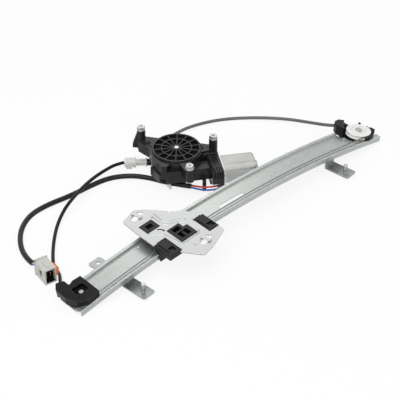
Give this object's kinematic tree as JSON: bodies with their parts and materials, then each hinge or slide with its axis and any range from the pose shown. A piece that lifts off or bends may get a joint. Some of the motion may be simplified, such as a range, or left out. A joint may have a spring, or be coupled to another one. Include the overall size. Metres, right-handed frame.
{
  "type": "window regulator",
  "caption": "Power window regulator: arched steel rail, glass carrier on sliders, cable with conduits, pulley and worm-gear motor.",
  "frame": {"origin": "middle of the footprint of the rigid pieces, on the surface the regulator lies on", "axes": "+X up the rail, +Y from the rail towards the motor, +Z away from the surface it lies on"},
  "size_m": [0.5756, 0.2771, 0.0667],
  "materials": {
    "galvanised": "satin",
    "zinc_steel": "satin",
    "cable_steel": "satin",
    "machined_steel": "satin",
    "can_steel": "matte",
    "black_plastic": "satin",
    "slider_plastic": "satin",
    "white_plastic": "satin",
    "rubber_damper": "matte",
    "grey_conduit": "satin",
    "black_conduit": "gloss",
    "red_insulation": "satin",
    "blue_insulation": "satin",
    "black_insulation": "satin",
    "connector_plastic": "satin",
    "orange_plastic": "satin",
    "brass": "satin",
    "copper": "satin",
    "ferrite": "matte"
  },
  "bodies": {
    "frame": {"adjuster_clip": "white_plastic", "adjuster_collar": "white_plastic", "adjuster_sleeve": "white_plastic", "bearings": "brass", "blue_wire": "blue_insulation", "bracket_studs": "zinc_steel", "brush_housing": "black_plastic", "brushes": "ferrite", "cable_tie": "white_plastic", "connector_body": "connector_plastic", "connector_lock": "orange_plastic", "drum_cable_runs": "cable_steel", "drum_housing": "black_plastic", "drum_housing_screws": "zinc_steel", "end_plate": "machined_steel", "end_plate_screws": "zinc_steel", "gear_housing": "black_plastic", "guide_rail": "galvanised", "guide_rivets": "zinc_steel", "harness_sleeve": "black_conduit", "lift_cable": "cable_steel", "lower_bracket": "galvanised", "lower_cable_guide": "black_plastic", "lower_conduit": "black_conduit", "magnets": "ferrite", "motor_can": "can_steel", "motor_plug": "black_plastic", "mounting_bolts": "zinc_steel", "output_shaft": "machined_steel", "plug_wires": "black_insulation", "pulley_bracket": "black_plastic", "pulley_pin": "zinc_steel", "red_wire": "red_insulation", "terminals": "brass", "threaded_inserts": "zinc_steel", "upper_bracket": "galvanised", "upper_conduit": "grey_conduit"},
    "carrier": {"carrier_plate": "galvanised", "far_slider": "slider_plastic", "near_slider_lower": "slider_plastic", "near_slider_upper": "slider_plastic", "cable_block": "slider_plastic", "cable_nipples": "zinc_steel"},
    "pulley": {"pulley": "white_plastic"},
    "drum": {"cable_drum": "white_plastic", "cable_winding": "cable_steel", "worm_wheel": "white_plastic", "damper": "rubber_damper"},
    "armature": {"armature_shaft": "machined_steel", "armature_core": "machined_steel", "armature_windings": "copper", "commutator": "copper"}
  },
  "joints": [
    {"name": "armature_spin", "type": "hinge", "parent": "frame", "child": "armature", "pos_m": [0.01893, 0.02218, 0.023], "axis": [-0.8572, 0.515, 0], "range_deg": [-16711.58, 51366.13]},
    {"name": "drum_spin", "type": "hinge", "parent": "frame", "child": "drum", "pos_m": [0.0099, 0.0654, 0.023], "axis": [0, 0, 1], "range_deg": [-269.54, 828.49]},
    {"name": "carrier_slide", "type": "hinge", "parent": "frame", "child": "carrier", "pos_m": [0.0112, -0.0594, -1.4255], "axis": [0, 1, 0], "range_deg": [-3.72, 11.43]},
    {"name": "pulley_spin", "type": "hinge", "parent": "frame", "child": "pulley", "pos_m": [0.26153, -0.06015, 0.02127], "axis": [0.1233, 0, 0.9924], "range_deg": [-346.55, 1065.2]}
  ],
  "couplings": [
    {"joint": "drum_spin", "follows": "carrier_slide", "ratio": 72.425},
    {"joint": "armature_spin", "follows": "carrier_slide", "ratio": 4490.3},
    {"joint": "pulley_spin", "follows": "carrier_slide", "ratio": 93.117}
  ]
}
